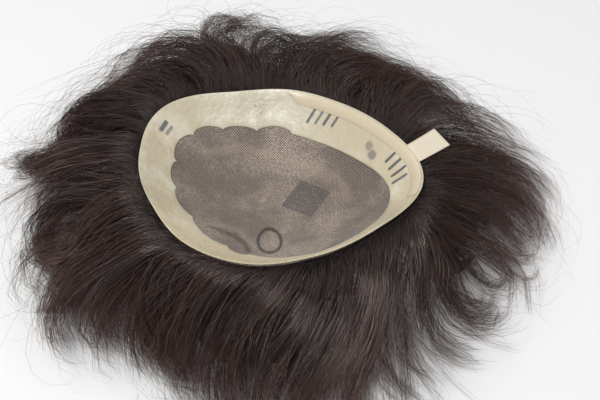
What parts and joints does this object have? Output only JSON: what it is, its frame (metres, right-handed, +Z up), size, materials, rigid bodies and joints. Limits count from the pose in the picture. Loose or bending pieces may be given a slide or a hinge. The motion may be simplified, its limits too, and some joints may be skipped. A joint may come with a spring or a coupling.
{
  "type": "toupee hairpiece",
  "caption": "Hairpiece lying upside down: a dish of net with a scalloped skin border, a tape tab, and wavy locks that fan out round it.",
  "frame": {"origin": "on the surface that the hair lies on, under the middle of the base", "axes": "+Z up from that surface, +X along the base to the end that carries the tape tab, +Y across the base"},
  "size_m": [0.3684, 0.3397, 0.0637],
  "materials": {
    "net": "fine brown-grey net",
    "skin": "cream film with a soft gloss",
    "tape": "cream tape, slightly pink",
    "hair": "very dark brown hair with a soft sheen"
  },
  "bodies": {
    "root": {"lace_net": "net", "skin_border": "skin", "edge_tape": "tape", "tape_tab": "tape", "hair": "hair"}
  },
  "joints": []
}
